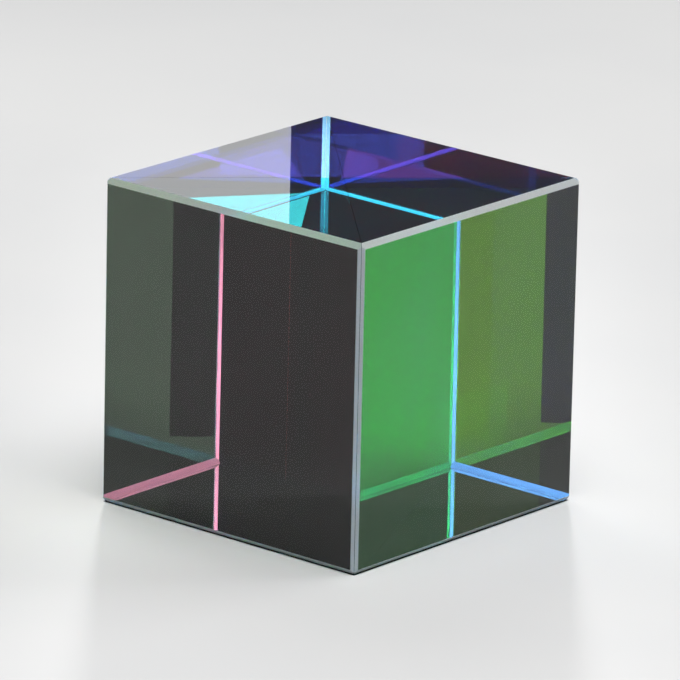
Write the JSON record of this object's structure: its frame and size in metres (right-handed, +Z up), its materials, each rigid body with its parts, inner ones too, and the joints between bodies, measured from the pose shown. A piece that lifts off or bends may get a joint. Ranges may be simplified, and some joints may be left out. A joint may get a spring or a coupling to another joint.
{
  "type": "dichroic prism cube",
  "caption": "Glass beam-combining cube of right-angle prisms cemented leg to leg, with crossed red-reflecting and blue-reflecting coatings and bevelled edges",
  "frame": {"origin": "middle of the bottom face, on the line where the two coated diagonals cross", "axes": "+Z up along the line where the coatings cross; the front prism's outer face looks along -Y and the right prism's along +X; the red-reflecting coating runs from the (-X, -Y) corner to the (+X, +Y) corner and the blue-reflecting one from the (+X, -Y) corner to the (-X, +Y) corner"},
  "size_m": [0.025, 0.025, 0.025],
  "materials": {
    "optical_glass": "clear borosilicate crown glass, polished faces, finely ground protective bevels on the outer edges",
    "red_reflecting_film": "vacuum-deposited dielectric multilayer, reflects red and passes blue and green, so it looks cyan seen through",
    "blue_reflecting_film": "vacuum-deposited dielectric multilayer, reflects blue and passes green and red, so it looks yellow seen through",
    "optical_cement": "clear cured optical cement with nearly the glass's own refractive index"
  },
  "bodies": {
    "root": {"prism_front": "optical_glass", "prism_right": "optical_glass", "prism_rear": "optical_glass", "prism_left": "optical_glass", "red_coating": "red_reflecting_film", "blue_coating_front": "blue_reflecting_film", "blue_coating_rear": "blue_reflecting_film", "cement_front": "optical_cement", "cement_rear": "optical_cement", "cement_diagonal": "optical_cement"}
  },
  "joints": []
}
